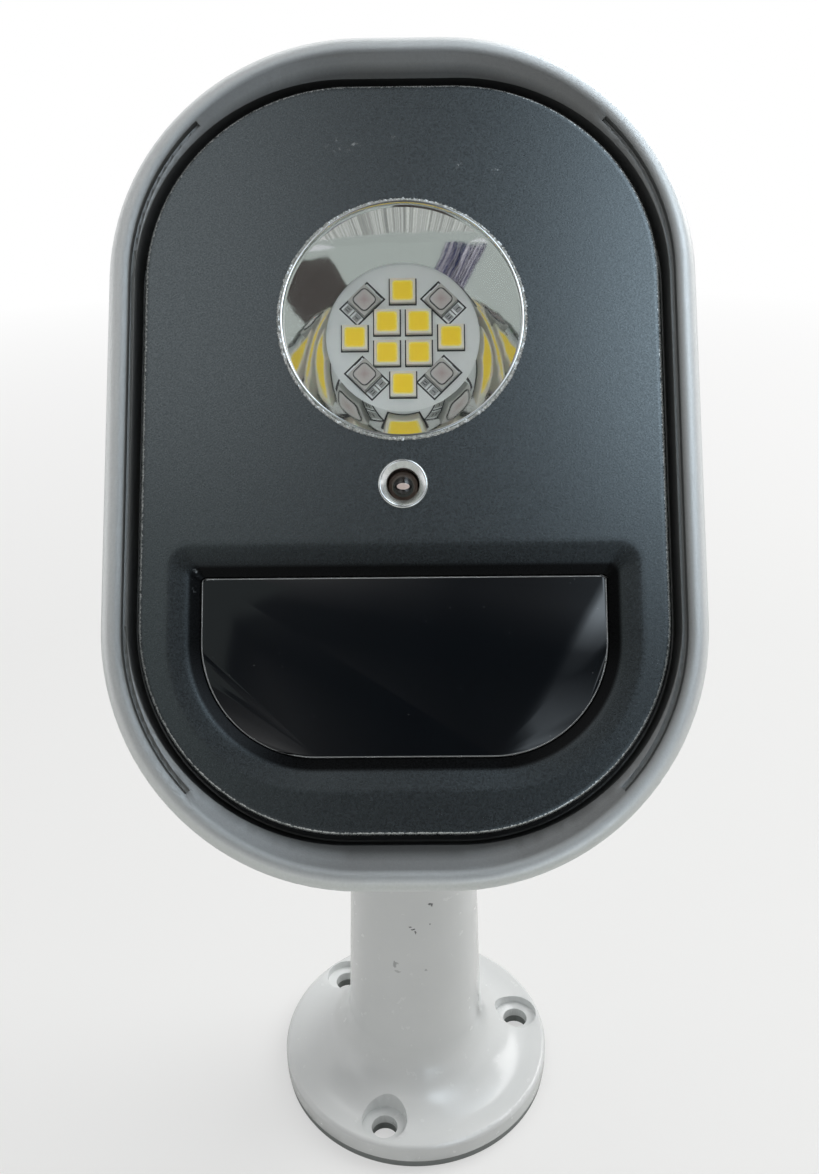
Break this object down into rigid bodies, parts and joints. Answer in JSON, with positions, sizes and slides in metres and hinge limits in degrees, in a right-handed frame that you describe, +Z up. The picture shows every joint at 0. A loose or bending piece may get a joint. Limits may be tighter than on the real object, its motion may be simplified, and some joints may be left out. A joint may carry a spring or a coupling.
{
  "type": "security light",
  "caption": "Oblong sensor light head with reflector lamp, light sensor and black sensor window, on a swivelling, tilting cast arm with a round screw flange.",
  "frame": {"origin": "centre of the underside of the flange's pad, on the arm's axis", "axes": "+Z up the arm away from the surface it is fixed to, the lamp's face towards -Y, +X to the right seen from the front"},
  "size_m": [0.0658, 0.0998, 0.1886],
  "materials": {
    "white_enamel": "white gloss enamel on a casting",
    "grey_pad": "grey sheet rubber",
    "plated_steel": "zinc plated",
    "nylon": "natural nylon",
    "cast_silver": "cast, satin silver paint",
    "satin_silver": "cast, satin silver paint",
    "dark_panel": "dark grey fine texture paint",
    "black_rubber": "moulded",
    "chromed_cup": "metallised, mirror bright",
    "clear_lens": "clear",
    "white_board": "white solder mask",
    "white_package": "moulded",
    "yellow_phosphor": "phosphor in silicone",
    "ir_window": "clear resin",
    "raw_aluminium": "turned",
    "polished_ring": "polished",
    "dark_dome": "dark clear resin",
    "black_plastic": "moulded",
    "black_window": "black gloss, tinted",
    "green_board": "circuit board",
    "can_steel": "tinned can",
    "brass_pillar": "turned",
    "copper_coil": "enamelled copper wire",
    "ferrite": "sintered",
    "capacitor_sleeve": "shrink sleeve",
    "green_plastic": "moulded",
    "black_nylon": "moulded nylon"
  },
  "bodies": {
    "arm": {"bracket_arm": "white_enamel", "base_pad": "grey_pad", "swivel_screw": "plated_steel", "swivel_washer": "nylon"},
    "knuckle": {"swivel_knuckle": "cast_silver"},
    "head": {"tilt_bolt": "plated_steel", "tilt_nut": "plated_steel", "tilt_washers": "nylon", "head_clevis": "cast_silver", "clevis_screws": "plated_steel", "front_frame": "satin_silver", "front_panel": "dark_panel", "panel_seal": "black_rubber", "rear_cover": "satin_silver", "cover_seal": "black_rubber", "cover_screws": "plated_steel", "reflector": "chromed_cup", "cover_lens": "clear_lens", "led_board": "white_board", "white_leds": "white_package", "led_phosphors": "yellow_phosphor", "ir_leds": "white_package", "ir_lenses": "ir_window", "led_screws": "plated_steel", "heat_spreader": "raw_aluminium", "sensor_ring": "polished_ring", "light_sensor": "dark_dome", "sensor_spacer": "black_plastic", "sensor_window": "black_window", "window_tape": "black_rubber", "motion_board": "green_board", "motion_sensor": "can_steel", "motion_screws": "plated_steel", "driver_board": "green_board", "board_pillars": "brass_pillar", "board_screws": "plated_steel", "driver_coil": "copper_coil", "coil_core": "ferrite", "driver_capacitors": "capacitor_sleeve", "driver_chip": "black_plastic", "terminal_block": "green_plastic", "cable_gland": "black_nylon", "gland_cap": "black_nylon", "gland_nut": "black_nylon"}
  },
  "joints": [
    {"name": "pan", "type": "hinge", "parent": "arm", "child": "knuckle", "pos_m": [0, 0, 0.098], "axis": [0, 0, 1], "range_deg": [-90, 90]},
    {"name": "tilt", "type": "hinge", "parent": "knuckle", "child": "head", "pos_m": [0, 0, 0.118], "axis": [-1, 0, 0], "range_deg": [-36, 52]}
  ]
}
